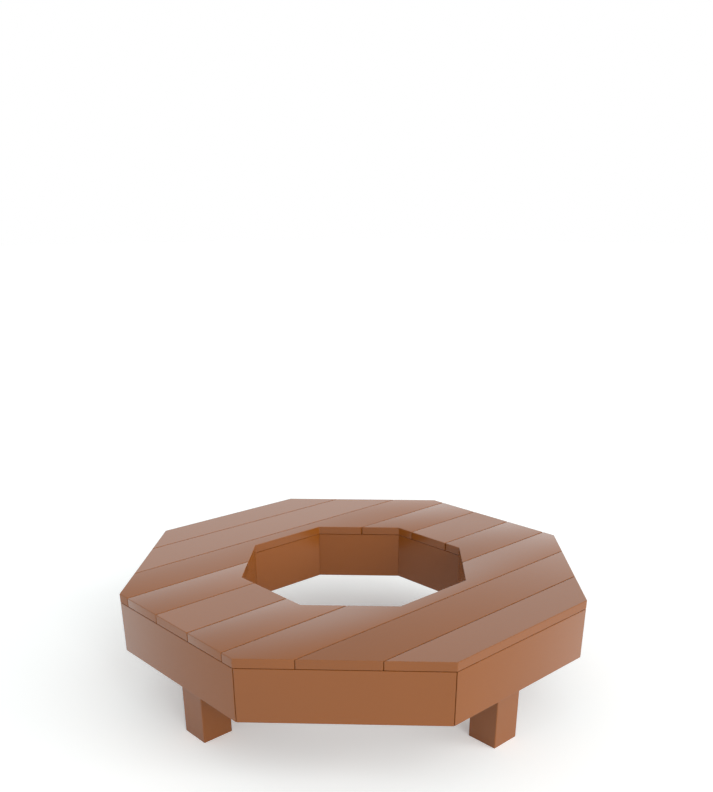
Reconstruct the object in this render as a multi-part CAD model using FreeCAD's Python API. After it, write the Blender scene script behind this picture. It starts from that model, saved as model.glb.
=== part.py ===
"""Octagonal tree bench: a planked seat ring on four legs, open in the middle for a trunk.

Millimetres, +Z up. The origin lies on the floor under the middle of the ring, and X runs along
the planks. Side 1 of the octagon faces +X, and the sides are counted towards +Y.
"""

import FreeCAD
import Part
import math
import os

Vector = FreeCAD.Vector

# Seat ring
seat_height = 450.0
ring_across = 1620.0
hole_across = 815.0

# Planks of the seat
plank_width = 184.0
plank_thickness = 32.0
plank_gap = 3.0
plank_bevel = 1.5

# Fascia boards round the outside and inside the hole
fascia_thickness = 20.0
fascia_height = 187.5
fascia_shadow_gap = 1.5
fascia_bevel = 1.5
outer_corner_gap = 2.0
inner_corner_gap = 0.6
inner_fascia_setback = 2.0

# Hidden frame: two rings of joists and the bearers between them
joist_thickness = 45.0
joist_height = 145.0

# Legs, each with a rebate that the outer joist sits in
leg_width = 116.0
leg_housing = 15.0
leg_round = 3.0

# Hexagon bolts that hold each leg to its joist, and their flange nuts
bolt_radius = 5.0
bolt_hole_clearance = 0.5
bolt_edge_distance = 45.0
bolt_end_length = 3.0
hexagon_across = 16.0
hexagon_height = 7.0
head_clearance = 2.0
flange_radius = 10.5
flange_thickness = 2.0
nut_clearance = 0.2

# Bent steel plates that tie the mitred joists together
corner_plate_reach = 55.0
corner_plate_height = 90.0

# Steel angles that hold the planks down from below
angle_reach = 38.0
angle_width = 30.0
angle_edge_clearance = 5.0

steel_thickness = 2.5

# Levels and radii that follow from the sizes above
side_count = 8
side_angle = 360.0 / side_count
mitre_slope = math.tan(math.radians(side_angle / 2))
mitre_cosine = math.cos(math.radians(side_angle / 2))
deck_underside = seat_height - plank_thickness
fascia_top = deck_underside - fascia_shadow_gap
fascia_bottom = fascia_top - fascia_height
joist_bottom = deck_underside - joist_height
plank_pitch = plank_width + plank_gap

outer_fascia_face = ring_across / 2
outer_joist_face = outer_fascia_face - fascia_thickness
outer_joist_back = outer_joist_face - joist_thickness
inner_fascia_face = hole_across / 2 + inner_fascia_setback
inner_joist_face = inner_fascia_face + fascia_thickness
inner_joist_back = inner_joist_face + joist_thickness
leg_outer_face = outer_joist_back + leg_housing
leg_inner_face = leg_outer_face - leg_width

bolt_offset = (joist_thickness + leg_width) / 4
bolt_levels = (joist_bottom + bolt_edge_distance, deck_underside - bolt_edge_distance)
head_recess = hexagon_height + head_clearance


# Share of the room round an upright edge that a board fills: less at a sharp end, where the
# bevel stops, a quarter at a square corner, and more than half at an inner corner
sharp_corner_share = 0.2
inner_corner_share = 0.5


def turned(shape, degrees):
    """Return the shape turned about the vertical axis through the ring's middle."""
    result = shape.copy()
    result.rotate(Vector(0, 0, 0), Vector(0, 0, 1), degrees)
    return result


def prism(points, low, high):
    """Return an upright solid with the given plan outline between two levels."""
    corners = [Vector(x, y, low) for x, y in points]
    outline = Part.makePolygon(corners + corners[:1])
    return Part.Face(outline).extrude(Vector(0, 0, high - low))


def octagon(across, low, high):
    """Return an upright octagonal solid with two of its flats square to X."""
    radius = across / 2 / mitre_cosine
    angles = [math.radians(side_angle * (k + 0.5)) for k in range(side_count)]
    points = [(radius * math.cos(a), radius * math.sin(a)) for a in angles]
    return prism(points, low, high)


def is_level(edge):
    """Tell whether both ends of an edge lie on one level."""
    return abs(edge.Vertexes[0].Z - edge.Vertexes[-1].Z) < 0.01


def filled_share(edge, board, reach):
    """Return the share of the room round an upright edge that the board fills."""
    foot = min((vertex.Point for vertex in edge.Vertexes), key=lambda point: point.z)
    post = Part.makeCylinder(reach, edge.Length, foot)
    return board.common(post).Volume / post.Volume


def eased_board(board, bevel):
    """Bevel a board's square and blunt upright corners, then all its level edges."""
    uprights = [e for e in board.Edges if not is_level(e)
                and sharp_corner_share < filled_share(e, board, bevel) < inner_corner_share]
    board = board.makeChamfer(bevel, uprights)
    return board.makeChamfer(bevel, [e for e in board.Edges if is_level(e)])


def mitred_board(near, far, low, high, corner_gap):
    """Return a board on side 1 between two distances from the middle, mitred at both ends."""
    end_cut = corner_gap / 2 / mitre_cosine
    half_near = near * mitre_slope - end_cut
    half_far = far * mitre_slope - end_cut
    points = [(near, -half_near), (far, -half_far), (far, half_far), (near, half_near)]
    return prism(points, low, high)


def seat_planks():
    """Return the seat's planks by name: rows along X, cut to the octagon and round the hole."""
    outer = octagon(ring_across, deck_underside, seat_height)
    ring = outer.cut(octagon(hole_across, deck_underside, seat_height))
    bevel = min(plank_bevel, plank_thickness / 3)
    rows_aside = math.ceil((ring_across / 2 - plank_width / 2 - plank_gap) / plank_pitch)
    planks = {}
    for row in range(-rows_aside, rows_aside + 1):
        low = row * plank_pitch - plank_width / 2
        strip = Part.makeBox(ring_across, plank_width, plank_thickness,
                             Vector(-ring_across / 2, low, deck_underside))
        pieces = sorted(strip.common(ring).Solids, key=lambda s: s.CenterOfMass.x)
        endings = ("_left", "_right") if len(pieces) == 2 else ("",)
        for piece, ending in zip(pieces, endings):
            name = "seat_plank_%d%s" % (row + rows_aside + 1, ending)
            planks[name] = eased_board(piece.removeSplitter(), bevel)
    return planks


def fascia_board(face, back, corner_gap):
    """Return a fascia board of side 1, with the edges of its visible face bevelled.

    The ends are bevelled too where the face looks outwards. Inside the hole they meet flush.
    """
    board = mitred_board(min(face, back), max(face, back), fascia_bottom, fascia_top,
                         corner_gap)
    edges = [e for e in board.Edges
             if all(abs(vertex.X - face) < 0.01 for vertex in e.Vertexes)
             and (face > back or is_level(e))]
    return board.makeChamfer(min(fascia_bevel, fascia_thickness / 3), edges)


def bolt_places():
    """Return the sideways place and level of each of a leg's bolts, one low and one high."""
    return [(-bolt_offset, bolt_levels[0]), (bolt_offset, bolt_levels[1])]


def bolt_holes():
    """Return the holes of side 1's bolts, through joist and leg, with room for the heads."""
    radius = bolt_radius + bolt_hole_clearance
    head_radius = hexagon_across / math.sqrt(3) + head_clearance
    length = outer_joist_face - leg_inner_face
    holes = []
    for side, level in bolt_places():
        start = Vector(leg_inner_face, side, level)
        mouth = Vector(outer_joist_face - head_recess, side, level)
        hole = Part.makeCylinder(radius, length, start, Vector(1, 0, 0))
        recess = Part.makeCylinder(head_radius, head_recess, mouth, Vector(1, 0, 0))
        holes.append(hole.fuse(recess))
    return holes


def outer_joist(carries_leg):
    """Return the outer joist of side 1, drilled for the bolts where it carries a leg."""
    joist = mitred_board(outer_joist_back, outer_joist_face, joist_bottom, deck_underside, 0)
    if carries_leg:
        joist = joist.cut(Part.makeCompound(bolt_holes()))
    return joist.Solids[0]


def inner_joist():
    """Return the inner joist of side 1, which backs the fascia inside the hole."""
    return mitred_board(inner_joist_face, inner_joist_back, joist_bottom, deck_underside, 0)


def bearer(end):
    """Return a bearer of side 1, from the inner joist out to the given distance."""
    return Part.makeBox(end - inner_joist_back, joist_thickness, joist_height,
                        Vector(inner_joist_back, -joist_thickness / 2, joist_bottom))


def leg():
    """Return the leg of side 1: a square post with a shoulder under the outer joist."""
    post = Part.makeBox(leg_width, leg_width, deck_underside,
                        Vector(leg_inner_face, -leg_width / 2, 0))
    uprights = [e for e in post.Edges if abs(e.Length - deck_underside) < 0.01]
    post = post.makeFillet(min(leg_round, leg_width / 4), uprights)
    rebate = Part.makeBox(leg_housing, leg_width, joist_height,
                          Vector(outer_joist_back, -leg_width / 2, joist_bottom))
    post = post.cut(rebate)
    return post.cut(Part.makeCompound(bolt_holes())).Solids[0]


def hexagon(distance, side, level, height):
    """Return a hexagonal block that starts at the given distance and runs outwards."""
    corner = hexagon_across / math.sqrt(3)
    turns = [math.pi / 3 * k for k in range(6)]
    ring = [Vector(distance, side + corner * math.cos(a), level + corner * math.sin(a))
            for a in turns]
    return Part.Face(Part.makePolygon(ring + ring[:1])).extrude(Vector(height, 0, 0))


def leg_bolt(side, level):
    """Return one bolt of side 1: a hexagon head in the joist's recess and a plain shank."""
    seat = outer_joist_face - head_recess
    tip = leg_inner_face - flange_thickness - hexagon_height - bolt_end_length
    shank = Part.makeCylinder(bolt_radius, seat - tip, Vector(tip, side, level),
                              Vector(1, 0, 0))
    return shank.fuse(hexagon(seat, side, level, hexagon_height)).removeSplitter()


def flange_nut(side, level):
    """Return the hexagon nut with its flange on the leg's inner face."""
    flange_start = leg_inner_face - flange_thickness
    nut_start = flange_start - hexagon_height
    outwards = Vector(1, 0, 0)
    flange = Part.makeCylinder(flange_radius, flange_thickness,
                               Vector(flange_start, side, level), outwards)
    bore = Part.makeCylinder(bolt_radius + nut_clearance, hexagon_height + flange_thickness,
                             Vector(nut_start, side, level), outwards)
    return flange.fuse(hexagon(nut_start, side, level, hexagon_height)).cut(bore)


def corner_plate(face, thickness):
    """Return the bent plate on two joists' faces at the corner between sides 1 and 2."""
    corner = Vector(math.cos(math.radians(side_angle / 2)),
                    math.sin(math.radians(side_angle / 2)), 0)
    reach_end = face * mitre_slope - corner_plate_reach

    def mirrored(point):
        along = corner * (2 * point.dot(corner))
        return along - point

    on_face = Vector(face, reach_end, 0)
    off_face = Vector(face + thickness, reach_end, 0)
    outline = [on_face, corner * (face / mitre_cosine), mirrored(on_face),
               mirrored(off_face), corner * ((face + thickness) / mitre_cosine), off_face]
    middle = (joist_bottom + deck_underside) / 2
    low = middle - min(corner_plate_height, joist_height) / 2
    return prism([(p.x, p.y) for p in outline], low, 2 * middle - low)


def plank_angle(distance, side, facing):
    """Return a steel angle under the planks, against a face that looks the given way."""
    reach = angle_reach
    profile = [(0, 0), (reach, 0), (reach, -steel_thickness),
               (steel_thickness, -steel_thickness), (steel_thickness, -reach), (0, -reach)]
    corners = [Vector(x, -angle_width / 2, z) for x, z in profile]
    angle = Part.Face(Part.makePolygon(corners + corners[:1])).extrude(
        Vector(0, angle_width, 0))
    angle = turned(angle, facing)
    angle.translate(Vector(distance, side, deck_underside))
    return angle


def square_side_angles(toward_x):
    """Return the plank angles of a side with a leg: on both joists and on the bearer."""
    beside_seam = plank_pitch / 2 + plank_gap / 2 + angle_edge_clearance + angle_width / 2
    bearer_middle = (inner_joist_back + leg_inner_face) / 2
    angles = []
    for sign in (-1, 1):
        angles.append(plank_angle(outer_joist_back, sign * plank_pitch, 180))
        angles.append(plank_angle(bearer_middle, sign * joist_thickness / 2, sign * 90))
        if toward_x:
            angles.append(plank_angle(inner_joist_back, sign * beside_seam, 0))
    return angles


def diagonal_side_angles(side_number):
    """Return the plank angles of a side without a leg, on its outer joist and its bearer."""
    slant = math.radians(side_angle * side_number)
    row_sign = 1 if math.sin(slant) > 0 else -1
    angles = []
    for row in (2, 3):
        level = row_sign * row * plank_pitch
        side = (level - outer_joist_back * math.sin(slant)) / math.cos(slant)
        angles.append(plank_angle(outer_joist_back, side, 180))
    bearer_cross = 2 * plank_pitch / abs(math.sin(slant))
    for sign in (-1, 1):
        angles.append(plank_angle(bearer_cross, sign * joist_thickness / 2, sign * 90))
    return angles


def build():
    """Return every piece by node name; a list holds a group of like pieces."""
    nodes = dict(seat_planks())
    bolts = []
    nuts = []
    plates = []
    angles = []
    outer_fascia = fascia_board(outer_fascia_face, outer_joist_face, outer_corner_gap)
    inner_fascia = fascia_board(inner_fascia_face, inner_joist_face, inner_corner_gap)
    outer_plate = corner_plate(outer_joist_back, -steel_thickness)
    inner_plate = corner_plate(inner_joist_back, steel_thickness)
    for k in range(side_count):
        number = k + 1
        degrees = side_angle * k
        has_leg = k % 2 == 0
        nodes["outer_fascia_%d" % number] = turned(outer_fascia, degrees)
        nodes["inner_fascia_%d" % number] = turned(inner_fascia, degrees)
        nodes["outer_joist_%d" % number] = turned(outer_joist(has_leg), degrees)
        nodes["inner_joist_%d" % number] = turned(inner_joist(), degrees)
        bearer_end = leg_inner_face if has_leg else outer_joist_back
        nodes["bearer_%d" % number] = turned(bearer(bearer_end), degrees)
        plates += [turned(plate, degrees) for plate in (outer_plate, inner_plate)]
        if has_leg:
            nodes["leg_%d" % number] = turned(leg(), degrees)
            for place in bolt_places():
                bolts.append(turned(leg_bolt(*place), degrees))
                nuts.append(turned(flange_nut(*place), degrees))
            side_angles = square_side_angles(k % 4 == 0)
        else:
            side_angles = diagonal_side_angles(k)
        angles += [turned(angle, degrees) for angle in side_angles]
    nodes["leg_bolts"] = bolts
    nodes["leg_nuts"] = nuts
    nodes["corner_plates"] = plates
    nodes["plank_angles"] = angles
    return nodes


os.makedirs("parts", exist_ok=True)
for node_name, content in build().items():
    shape = Part.makeCompound(content) if isinstance(content, list) else content
    shape.exportStep("parts/%s.step" % node_name)
    print(node_name, "solids", len(shape.Solids), "volume %.0f" % shape.Volume)
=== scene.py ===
"""Looks of the octagonal tree bench: stained planks, fascia boards and legs in a pale studio."""

import logging
import math
from dataclasses import dataclass, field, replace
from enum import Enum

import bpy
from mathutils import Matrix, Vector


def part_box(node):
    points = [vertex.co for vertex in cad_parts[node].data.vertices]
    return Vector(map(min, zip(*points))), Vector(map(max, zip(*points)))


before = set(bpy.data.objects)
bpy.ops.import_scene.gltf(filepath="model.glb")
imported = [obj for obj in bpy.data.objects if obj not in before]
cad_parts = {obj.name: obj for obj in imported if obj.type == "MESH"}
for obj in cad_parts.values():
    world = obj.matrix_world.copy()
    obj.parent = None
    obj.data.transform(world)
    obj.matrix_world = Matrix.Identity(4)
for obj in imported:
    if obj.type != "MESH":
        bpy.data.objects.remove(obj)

LOG = logging.getLogger("tree_bench")
SIDE_COUNT = 8
SIDE_TURN = 2 * math.pi / SIDE_COUNT
FIXING_NODES = ("leg_bolts", "leg_nuts", "corner_plates", "plank_angles")

# Most values of a noise pattern lie between these two
NOISE_LOW, NOISE_HIGH = 0.3, 0.7

# From one board's stretch of wood to the next one's in the pattern, in metres
STRETCH_STEP = (1.7, 0.61, 0.37)

LAMP_DISTANCE = 8.0

Colour = tuple[float, float, float]
Socket = bpy.types.NodeSocket
# What an input takes: another node's output, a number, or a colour or vector
Feed = Socket | float | Colour

WHITE: Colour = (1.0, 1.0, 1.0)


def from_screen(red: int, green: int, blue: int) -> Colour:
    """Turn a screen colour from 0 to 255 into the linear one that shaders take.

    Args:
        red: The red part.
        green: The green part.
        blue: The blue part.

    Returns:
        The colour's linear parts from 0 to 1.
    """
    def linear(part: int) -> float:
        """Undo the screen's curve for one part."""
        share = part / 255
        return share / 12.92 if share <= 0.04045 else ((share + 0.055) / 1.055) ** 2.4

    return linear(red), linear(green), linear(blue)


def direction(turn: float, rise: float) -> Vector:
    """Return the way out from the bench's middle.

    Args:
        turn: The angle from -Y towards +X, in degrees.
        rise: The angle up from the floor, in degrees.

    Returns:
        A vector of length 1.
    """
    turned, raised = math.radians(turn), math.radians(rise)
    return Vector((math.sin(turned) * math.cos(raised), -math.cos(turned) * math.cos(raised),
                   math.sin(raised)))


class Grain(Enum):
    """The way that a board's fibres run."""

    ALONG_X = "x"
    ALONG_SIDE = "side"
    OUTWARDS = "outwards"
    UPRIGHT = "upright"


class Sheet:
    """A node tree with short calls for adding and joining nodes."""

    # Where a Mix node keeps its factor, its two colours and the mixed one
    FACTOR, FIRST_COLOUR, SECOND_COLOUR, MIXED_COLOUR = 0, 6, 7, 2

    def __init__(self, name: str) -> None:
        """Start an empty material.

        Args:
            name: The material's name.
        """
        self.material = bpy.data.materials.new(name)
        self.material.use_nodes = True
        self.tree = self.material.node_tree
        self.tree.nodes.clear()

    @classmethod
    def over(cls, tree: bpy.types.NodeTree) -> "Sheet":
        """Empty a tree that has no material and work on it.

        Args:
            tree: The tree.

        Returns:
            The sheet over it.
        """
        sheet = cls.__new__(cls)
        sheet.tree = tree
        tree.nodes.clear()
        return sheet

    def add(self, kind: str, settings: dict[str, object] | None = None,
            **sockets: Feed) -> bpy.types.Node:
        """Add a node, set its properties and feed its sockets.

        Args:
            kind: The node's type, without the ShaderNode start.
            settings: Property names and their values.
            **sockets: Input names, with _ for a space, and a value or an output socket.

        Returns:
            The new node.
        """
        node = self.tree.nodes.new("ShaderNode" + kind)
        for key, value in (settings or {}).items():
            setattr(node, key, value)
        for key, value in sockets.items():
            self.feed(node.inputs[key.replace("_", " ")], value)
        return node

    def feed(self, socket: Socket, value: Feed) -> None:
        """Link an output to a socket, or set the socket's own value.

        Args:
            socket: The input.
            value: What it takes; a colour gets its fourth part here.
        """
        if isinstance(value, Socket):
            self.tree.links.new(value, socket)
        elif isinstance(value, tuple) and socket.type == "RGBA":
            socket.default_value = (*value, 1.0)
        else:
            socket.default_value = value

    def math(self, operation: str, first: Feed, second: Feed) -> Socket:
        """Add a Math node.

        Args:
            operation: The node's operation.
            first: Its first value.
            second: Its second value.

        Returns:
            Its output.
        """
        node = self.add("Math", {"operation": operation})
        self.feed(node.inputs[0], first)
        self.feed(node.inputs[1], second)
        return node.outputs[0]

    def vector(self, operation: str, first: Feed, second: Feed) -> bpy.types.Node:
        """Add a Vector Math node.

        Args:
            operation: The node's operation.
            first: Its first vector.
            second: Its second vector.

        Returns:
            The node.
        """
        node = self.add("VectorMath", {"operation": operation})
        self.feed(node.inputs[0], first)
        self.feed(node.inputs[1], second)
        return node

    def mapped(self, vector: Socket, **sockets: Feed) -> Socket:
        """Add a Mapping node.

        Args:
            vector: The place to map.
            **sockets: Its Location, Rotation or Scale.

        Returns:
            The mapped place.
        """
        return self.add("Mapping", {"vector_type": "POINT"}, Vector=vector, **sockets).outputs[0]

    def mix(self, factor: Feed, first: Feed, second: Feed) -> Socket:
        """Add a colour Mix node.

        Args:
            factor: 0 for the first colour, 1 for the second.
            first: The first colour.
            second: The second colour.

        Returns:
            The mixed colour.
        """
        node = self.add("Mix", {"data_type": "RGBA", "blend_type": "MIX"})
        self.feed(node.inputs[self.FACTOR], factor)
        self.feed(node.inputs[self.FIRST_COLOUR], first)
        self.feed(node.inputs[self.SECOND_COLOUR], second)
        return node.outputs[self.MIXED_COLOUR]

    def ranged(self, value: Feed, low: float, high: float, to_low: float,
               to_high: float) -> Socket:
        """Add a Map Range node that stops at its ends.

        Args:
            value: The value to map.
            low: The value that becomes to_low.
            high: The value that becomes to_high.
            to_low: The result at low.
            to_high: The result at high.

        Returns:
            The mapped value.
        """
        node = self.add("MapRange", {"clamp": True}, Value=value, From_Min=low, From_Max=high,
                        To_Min=to_low, To_Max=to_high)
        return node.outputs[0]

    def swing(self, pattern: Socket, middle: float, reach: float) -> Socket:
        """Spread a noise pattern evenly round a value.

        Args:
            pattern: The noise.
            middle: The value in the middle.
            reach: How far the result goes to either side.

        Returns:
            The spread value.
        """
        return self.ranged(pattern, NOISE_LOW, NOISE_HIGH, middle - reach, middle + reach)

    def noise(self, vector: Socket, scale: float, detail: float,
              roughness: float = 0.5) -> Socket:
        """Add a Noise Texture node.

        Args:
            vector: The place in the pattern.
            scale: How many times it repeats in a metre.
            detail: How many finer layers it has.
            roughness: How strong the finer layers are.

        Returns:
            The noise's plain factor.
        """
        node = self.add("TexNoise", {"noise_dimensions": "3D"}, Vector=vector, Scale=scale,
                        Detail=detail, Roughness=roughness)
        return node.outputs["Fac"]

    def bump(self, height: Feed, distance: float, **sockets: Feed) -> Socket:
        """Add a Bump node.

        Args:
            height: The height, from 0 to 1 where it is a pattern.
            distance: How many metres a height of 1 stands for.
            **sockets: Its Strength, where it isn't 1, and the Normal that it starts from.

        Returns:
            The new direction of the surface.
        """
        settings = {"Strength": 1.0, **sockets}
        return self.add("Bump", Height=height, Distance=distance, **settings).outputs[0]

    def close(self, shader: Socket) -> bpy.types.Material:
        """Join the shader to the output and return the finished material."""
        self.add("OutputMaterial", Surface=shader)
        return self.material


def seen_directly(sheet: Sheet) -> Socket:
    """Tell what shows from what only lights.

    Args:
        sheet: The node tree that takes the nodes.

    Returns:
        1 for what the camera, a reflection or clear glass shows, and 0 for plain light.
    """
    path = sheet.add("LightPath").outputs
    mirrored = sheet.math("MAXIMUM", path["Is Camera Ray"], path["Is Glossy Ray"])
    return sheet.math("MAXIMUM", mirrored, path["Is Transmission Ray"])


@dataclass(frozen=True)
class Warp:
    """The slight warp of a board's face: its slopes and how fast they grow per metre.

    Tip, bow and curl act along the board, lean, cup and hook across it, and twist, swell and
    saddle tie the two.
    """

    tip: float = 0.0
    lean: float = 0.0
    bow: float = 0.0
    twist: float = 0.0
    cup: float = 0.0
    swell: float = 0.0
    saddle: float = 0.0
    hook: float = 0.0
    curl: float = 0.0

    def terms(self) -> tuple[tuple[float, int, int], ...]:
        """Return the depth's terms: each one's share and its powers of along and across."""
        return ((self.tip, 1, 0), (self.lean, 0, 1), (self.bow / 2, 2, 0), (self.twist, 1, 1),
                (self.cup / 2, 0, 2), (self.swell, 2, 1), (self.saddle / 2, 2, 2),
                (self.hook / 3, 0, 3), (self.curl / 4, 4, 0))


FLAT = Warp()


@dataclass(frozen=True)
class Lie:
    """How a board lies: its middle, its own stretch of wood, its fibres' run and its warp."""

    middle: Vector
    start: Vector
    turn: float = 0.0
    upright: bool = False
    warp: Warp = FLAT


@dataclass(frozen=True)
class Stain:
    """An opaque satin wood stain: even colour, fine sprayed skin, softly worn edges.

    Scales are repeats in a metre, swings go to either side of the middle value, and the depth
    and the arris are in metres. The edge's likeness is that of its direction to the flat face's,
    where the wear starts and where it is full.
    """

    name: str
    colour: Colour
    worn: Colour
    tone_scale: float = 2.2
    tone_swing: float = 0.02
    grain_scale: float = 95.0
    grain_shortening: float = 0.06
    grain_swing: float = 0.006
    skin_scale: float = 420.0
    skin_depth: float = 0.000012
    speckle_swing: float = 0.012
    roughness: float = 0.16
    roughness_swing: float = 0.02
    arris: float = 0.003
    arris_samples: int = 8
    edge_likeness: tuple[float, float] = (0.999, 0.93)
    edge_wear: float = 0.12
    worn_grain: tuple[float, float] = (0.35, 0.65)
    least_wear: float = 0.4
    ior: float = 1.52

    def make(self, label: str, lie: Lie) -> bpy.types.Material:
        """Make the stain for one board.

        Args:
            label: The board's name, used in the material's name.
            lie: How the board lies, and where its own stretch of wood starts.

        Returns:
            The material.
        """
        sheet = Sheet(f"{self.name}_{label}")
        place = sheet.add("TexCoord").outputs["Object"]
        off_middle = sheet.vector("SUBTRACT", place, tuple(lie.middle)).outputs[0]
        rotation = (0.0, math.pi / 2, 0.0) if lie.upright else (0.0, 0.0, -lie.turn)
        board = sheet.mapped(off_middle, Rotation=rotation)
        wood = sheet.mapped(board, Location=tuple(lie.start))
        fibres = sheet.mapped(wood, Scale=(self.grain_shortening, 1.0, 1.0))
        grain = sheet.noise(fibres, self.grain_scale, detail=4.0, roughness=0.6)
        skin = sheet.noise(wood, self.skin_scale, detail=2.0, roughness=0.55)
        rounded = sheet.add("Bevel", {"samples": self.arris_samples},
                            Radius=self.arris).outputs[0]
        worn = sheet.math("MULTIPLY", self.edge_share(sheet, rounded),
                          sheet.ranged(grain, *self.worn_grain, self.least_wear, 1.0))
        colour = sheet.mix(worn, self.tint(sheet, wood, grain, skin), self.worn)
        matt = sheet.swing(grain, self.roughness, self.roughness_swing)
        surface = rounded
        if lie.warp != FLAT:
            height = self.warp_height(sheet, board, lie.warp)
            surface = sheet.bump(height, distance=1.0, Normal=surface)
        surface = sheet.bump(skin, self.skin_depth, Normal=surface)
        shader = sheet.add("BsdfPrincipled", Base_Color=colour, Roughness=matt, IOR=self.ior,
                           Normal=surface)
        return sheet.close(shader.outputs[0])

    def tint(self, sheet: Sheet, wood: Socket, grain: Socket, skin: Socket) -> Socket:
        """Add the coat's colour, a little uneven from place to place.

        Args:
            sheet: The material that takes the nodes.
            wood: The place in the board's own stretch of wood.
            grain: The pattern of the fibres.
            skin: The pattern of the sprayed skin.

        Returns:
            The colour.
        """
        tone = sheet.swing(sheet.noise(wood, self.tone_scale, detail=2.0), 1.0, self.tone_swing)
        streak = sheet.swing(grain, 0.0, self.grain_swing)
        speckle = sheet.swing(skin, 0.0, self.speckle_swing)
        bright = sheet.math("ADD", sheet.math("ADD", tone, streak), speckle)
        return sheet.add("HueSaturation", Color=self.colour, Value=bright).outputs[0]

    def edge_share(self, sheet: Sheet, rounded: Socket) -> Socket:
        """Add nodes that find the board's edges.

        Args:
            sheet: The material that takes the nodes.
            rounded: The surface's direction with its edges rounded.

        Returns:
            How worn each place is.
        """
        flat = sheet.add("NewGeometry").outputs["Normal"]
        likeness = sheet.vector("DOT_PRODUCT", flat, rounded).outputs["Value"]
        return sheet.ranged(likeness, *self.edge_likeness, 0.0, self.edge_wear)

    def warp_height(self, sheet: Sheet, board: Socket, warp: Warp) -> Feed:
        """Add the height of the warped face over the flat one.

        Args:
            sheet: The material that takes the nodes.
            board: The place on the board, along and across it from its middle.
            warp: The board's warp.

        Returns:
            The height in metres.
        """
        along, across = sheet.add("SeparateXYZ", Vector=board).outputs[:2]
        height = 0.0
        for share, along_power, across_power in warp.terms():
            if not share:
                continue
            term = -share
            for factor in [along] * along_power + [across] * across_power:
                term = sheet.math("MULTIPLY", factor, term)
            height = sheet.math("ADD", term, height)
        return height


@dataclass(frozen=True)
class ZincPlate:
    """Dull zinc plating on pressed steel and bolts."""

    name: str = "zinc_plate"
    colour: Colour = from_screen(186, 188, 186)
    stained: Colour = from_screen(142, 146, 148)
    spangle_scale: float = 420.0
    spangle_reach: float = 0.8
    spangle_share: float = 0.5
    cloud_scale: float = 60.0
    cloud_depth: float = 0.0001
    cloud_strength: float = 0.6
    metallic: float = 0.9
    smooth: float = 0.30
    dull: float = 0.48

    def make(self, label: str) -> bpy.types.Material:
        """Make the plating for one group of fixings.

        Args:
            label: The group's name, used in the material's name.

        Returns:
            The material.
        """
        sheet = Sheet(f"{self.name}_{label}")
        place = sheet.add("TexCoord").outputs["Object"]
        bloom = sheet.add("TexVoronoi", {"feature": "F1"}, Vector=place,
                          Scale=self.spangle_scale).outputs["Distance"]
        cloud = sheet.noise(place, self.cloud_scale, detail=3.0)
        spangle = sheet.ranged(bloom, 0.0, self.spangle_reach, 0.0, self.spangle_share)
        colour = sheet.mix(sheet.math("MULTIPLY", spangle, cloud), self.colour, self.stained)
        matt = sheet.ranged(cloud, NOISE_LOW, NOISE_HIGH, self.smooth, self.dull)
        surface = sheet.bump(cloud, self.cloud_depth, Strength=self.cloud_strength)
        shader = sheet.add("BsdfPrincipled", Base_Color=colour, Metallic=self.metallic,
                           Roughness=matt, Normal=surface)
        return sheet.close(shader.outputs[0])


TERRACOTTA = Stain("terracotta_stain", from_screen(145, 82, 26), from_screen(178, 112, 54))
# A copy of the stain for the boards inside the opening: less edge wear, and a deeper colour with
# less blue, which is painted shade
LESS_WORN_SHADED_STAIN = replace(TERRACOTTA, name="less_worn_shaded_stain", colour=from_screen(144, 80, 21),
                    roughness=0.24, arris=0.0012, edge_wear=0.06)
FRAME_STAIN = Stain("frame_stain", from_screen(134, 78, 36), from_screen(160, 108, 68),
                    tone_swing=0.08, grain_swing=0.1, speckle_swing=0.03, roughness=0.45,
                    skin_scale=260.0, skin_depth=0.00006)
ZINC = ZincPlate()

# The boards that have moved a little since they were laid
WARPS: dict[str, Warp] = {
    "seat_plank_2": Warp(tip=-0.08, lean=-0.07, bow=0.25, cup=0.35),
    "seat_plank_3": Warp(tip=-0.03, lean=0.11, bow=-0.1, cup=1.1, swell=-0.3, saddle=1.4,
                         hook=-6.0, curl=0.5),
    "seat_plank_4_left": Warp(lean=0.03, bow=0.7, twist=-0.06, cup=1.3, swell=-0.35),
    "seat_plank_4_right": Warp(tip=-0.06, lean=0.03, bow=0.5, twist=-0.13, cup=1.0, swell=0.3),
    "seat_plank_5_right": Warp(tip=-0.03, lean=0.02, bow=0.1, cup=0.2, swell=-0.45),
    "seat_plank_6_left": Warp(bow=0.8, twist=-0.28, cup=1.2, swell=-0.45),
    "seat_plank_6_right": Warp(tip=-0.06, bow=0.5, twist=0.09, cup=1.05, swell=-0.4),
    "seat_plank_7": Warp(tip=-0.04, lean=-0.06, bow=-0.1, cup=0.55, saddle=0.5, curl=0.45),
}


def dress(node: str, material: bpy.types.Material) -> None:
    """Give a piece of the bench one material on all its faces.

    Args:
        node: The piece's name.
        material: The material.
    """
    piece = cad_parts[node]
    piece.data.materials.clear()
    piece.data.materials.append(material)
    LOG.info("dressed %s with %s", node, material.name)


def middle_of(node: str) -> Vector:
    """Return the middle of a node's box."""
    low, high = (Vector(corner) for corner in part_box(node))
    return (low + high) / 2


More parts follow.
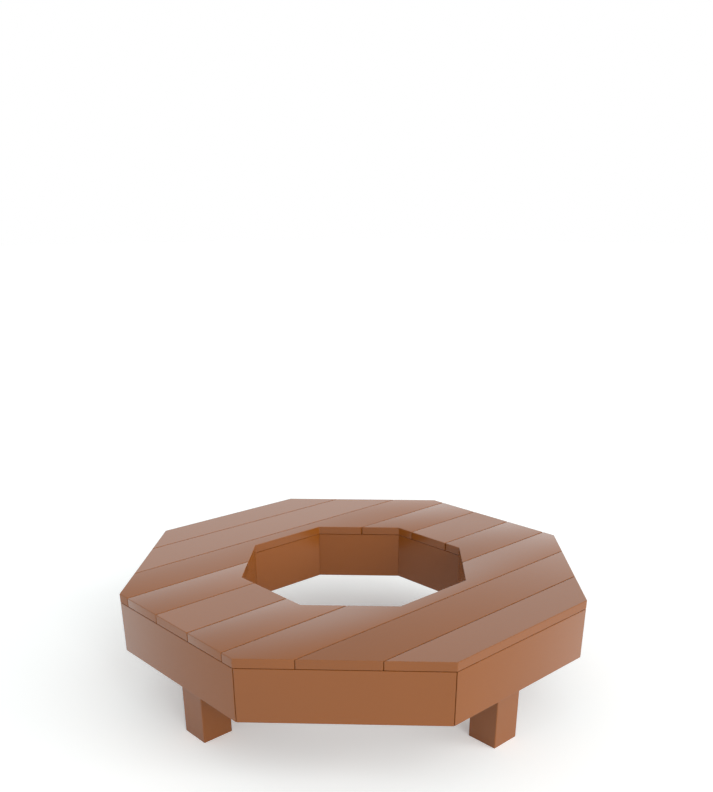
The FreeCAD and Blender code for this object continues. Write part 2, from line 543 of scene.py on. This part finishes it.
@dataclass
class Boards:
    """Boards of one kind, with one stain and one run of fibres.

    Each board's stretch of wood has its own number, which counts up from first_stretch.
    """

    prefix: str
    stain: Stain
    grain: Grain
    first_stretch: int
    warp: Warp = FLAT
    nodes: list[str] = field(init=False)

    def __post_init__(self) -> None:
        """Find the boards among the bench's nodes."""
        self.nodes = sorted(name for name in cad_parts
                            if name.startswith(self.prefix) and name not in FIXING_NODES)

    def turn_of(self, node: str) -> float:
        """Find the way that a board's fibres run.

        Args:
            node: The board's name, which ends with its side number unless it lies along X.

        Returns:
            The turn from X, in radians.
        """
        if self.grain not in (Grain.ALONG_SIDE, Grain.OUTWARDS):
            return 0.0
        side = int(node.rsplit("_", 1)[1]) - 1
        across = math.pi / 2 if self.grain is Grain.ALONG_SIDE else 0.0
        return side * SIDE_TURN + across

    def dress(self) -> None:
        """Stain every board."""
        for stretch, node in enumerate(self.nodes, self.first_stretch):
            start = Vector([step * stretch for step in STRETCH_STEP])
            lie = Lie(middle_of(node), start, self.turn_of(node), self.grain is Grain.UPRIGHT,
                      WARPS.get(node, self.warp))
            dress(node, self.stain.make(node, lie))


@dataclass
class SeatPlanks(Boards):
    """The rows of planks that people sit on."""

    prefix: str = "seat_plank_"
    stain: Stain = TERRACOTTA
    grain: Grain = Grain.ALONG_X
    first_stretch: int = 0


@dataclass
class OuterFascia(Boards):
    """The deep boards round the outside."""

    prefix: str = "outer_fascia_"
    stain: Stain = TERRACOTTA
    grain: Grain = Grain.ALONG_SIDE
    first_stretch: int = 20
    warp: Warp = Warp(bow=0.4)


@dataclass
class InnerFascia(Boards):
    """The boards inside the opening, sheltered and so less worn, in a deeper copy of the stain
    that is painted shade.
    """

    prefix: str = "inner_fascia_"
    # The deeper, less blue colour of this stain is painted shade
    stain: Stain = LESS_WORN_SHADED_STAIN
    grain: Grain = Grain.ALONG_SIDE
    first_stretch: int = 30


@dataclass
class Legs(Boards):
    """The four square legs."""

    prefix: str = "leg_"
    stain: Stain = TERRACOTTA
    grain: Grain = Grain.UPRIGHT
    first_stretch: int = 40


@dataclass
class OuterJoists(Boards):
    """The ring of joists behind the outer fascia."""

    prefix: str = "outer_joist_"
    stain: Stain = FRAME_STAIN
    grain: Grain = Grain.ALONG_SIDE
    first_stretch: int = 50


@dataclass
class InnerJoists(Boards):
    """The ring of joists round the opening."""

    prefix: str = "inner_joist_"
    stain: Stain = FRAME_STAIN
    grain: Grain = Grain.ALONG_SIDE
    first_stretch: int = 60


@dataclass
class Bearers(Boards):
    """The bearers that run out from ring to ring."""

    prefix: str = "bearer_"
    stain: Stain = FRAME_STAIN
    grain: Grain = Grain.OUTWARDS
    first_stretch: int = 70


@dataclass
class Fixings:
    """Bolts, nuts, bent plates and steel angles of the hidden frame."""

    nodes: tuple[str, ...] = FIXING_NODES

    def dress(self) -> None:
        """Plate every group."""
        for node in self.nodes:
            dress(node, ZINC.make(node))


@dataclass(frozen=True)
class SoftLamp:
    """A wide lamp: angles in degrees, and its share of white on a face towards it.

    Only a mirrored one shows as a sheen on the boards.
    """

    name: str
    height: float
    turn: float
    spread: float
    share: float
    mirrored: bool = False

    def hang(self) -> None:
        """Hang the lamp and aim it at the bench."""
        lamp = bpy.data.lights.new(f"lamp_{self.name}", "SUN")
        lamp.angle = math.radians(self.spread)
        lamp.energy = self.share * math.pi
        holder = bpy.data.objects.new(f"lamp_{self.name}", lamp)
        place = direction(self.turn, self.height)
        holder.location = place * LAMP_DISTANCE
        holder.rotation_euler = (-place).to_track_quat("-Z", "Y").to_euler()
        holder.visible_glossy = self.mirrored
        bpy.context.scene.collection.objects.link(holder)


@dataclass
class Studio:
    """Plain white floor, even light all round and soft lamps, most on the side at -Y."""

    floor_half: float = 60.0
    floor_shade: float = 0.84
    shown_shade: Colour = (0.93, 0.965, 0.96)
    floor_glow: float = 0.28
    sky_strength: float = 0.56
    lamps: tuple[SoftLamp, ...] = (SoftLamp("left", 18, -20, 30, 0.325),
                                   SoftLamp("right", 18, 35, 30, 0.25),
                                   SoftLamp("high", 45, 8, 40, 0.16),
                                   SoftLamp("back", 25, 137, 64, 0.042, mirrored=True))

    def floor_finish(self) -> bpy.types.Material:
        """Make the floor's finish: a pale shade with a glow that shows but doesn't light.

        Returns:
            The material.
        """
        sheet = Sheet("pale_floor")
        shown = seen_directly(sheet)
        shade = sheet.mix(shown, (self.floor_shade,) * 3, self.shown_shade)
        diffuse = sheet.add("BsdfDiffuse", Color=shade).outputs[0]
        glow = sheet.math("MULTIPLY", shown, self.floor_glow)
        lift = sheet.add("Emission", Color=WHITE, Strength=glow).outputs[0]
        both = sheet.add("AddShader")
        sheet.feed(both.inputs[0], diffuse)
        sheet.feed(both.inputs[1], lift)
        return sheet.close(both.outputs[0])

    def lay_floor(self) -> None:
        """Lay the floor, which shows white outside the bench's soft shadow."""
        half = self.floor_half
        mesh = bpy.data.meshes.new("floor")
        mesh.from_pydata([(-half, -half, 0), (half, -half, 0), (half, half, 0), (-half, half, 0)],
                         [], [(0, 1, 2, 3)])
        floor = bpy.data.objects.new("floor", mesh)
        bpy.context.scene.collection.objects.link(floor)
        mesh.materials.append(self.floor_finish())

    def light_sky(self) -> None:
        """Light evenly from all round; the camera and reflections see plain white."""
        world = bpy.data.worlds.new("studio")
        bpy.context.scene.world = world
        world.use_nodes = True
        sky = Sheet.over(world.node_tree)
        strength = sky.ranged(seen_directly(sky), 0.0, 1.0, self.sky_strength, 1.0)
        light = sky.add("Background", Color=WHITE, Strength=strength)
        sky.add("OutputWorld", Surface=light.outputs[0])

    def build(self) -> None:
        """Set up the floor, the sky and the lamps, with plain colours."""
        self.lay_floor()
        self.light_sky()
        for lamp in self.lamps:
            lamp.hang()
        bpy.context.scene.view_settings.view_transform = "Standard"


@dataclass
class Viewpoint:
    """The photograph's camera, as it was fitted to the ring's corners."""

    azimuth: float = -43.01
    elevation: float = 24.67
    distance: float = 3.4713
    right_shift: float = 0.0192
    up_shift: float = 0.2056
    focal_pixels: float = 861.3
    centre_right_pixels: float = 3.72
    centre_down_pixels: float = 219.27
    frame_pixels: int = 792
    sensor: float = 36.0
    far_end: float = 200.0

    def place(self) -> None:
        """Make the camera and aim it."""
        back = direction(self.azimuth, self.elevation)
        turned = math.radians(self.azimuth)
        right = Vector((math.cos(turned), math.sin(turned), 0.0))
        up = back.cross(right)
        data = bpy.data.cameras.new("viewpoint")
        data.sensor_width = self.sensor
        data.lens = self.focal_pixels / self.frame_pixels * self.sensor
        data.shift_x = -self.centre_right_pixels / self.frame_pixels
        data.shift_y = self.centre_down_pixels / self.frame_pixels
        data.clip_end = self.far_end
        camera = bpy.data.objects.new("viewpoint", data)
        camera.location = back * self.distance + right * self.right_shift + up * self.up_shift
        camera.rotation_euler = Matrix((right, up, back)).transposed().to_euler()
        bpy.context.scene.collection.objects.link(camera)
        bpy.context.scene.camera = camera


def main() -> None:
    """Dress the bench, then set up the studio and the viewpoint."""
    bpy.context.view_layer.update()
    for part in (SeatPlanks(), OuterFascia(), InnerFascia(), Legs(), OuterJoists(),
                 InnerJoists(), Bearers(), Fixings()):
        part.dress()
    Studio().build()
    Viewpoint().place()


if __name__ == "__main__":
    logging.basicConfig(level=logging.INFO)
    main()
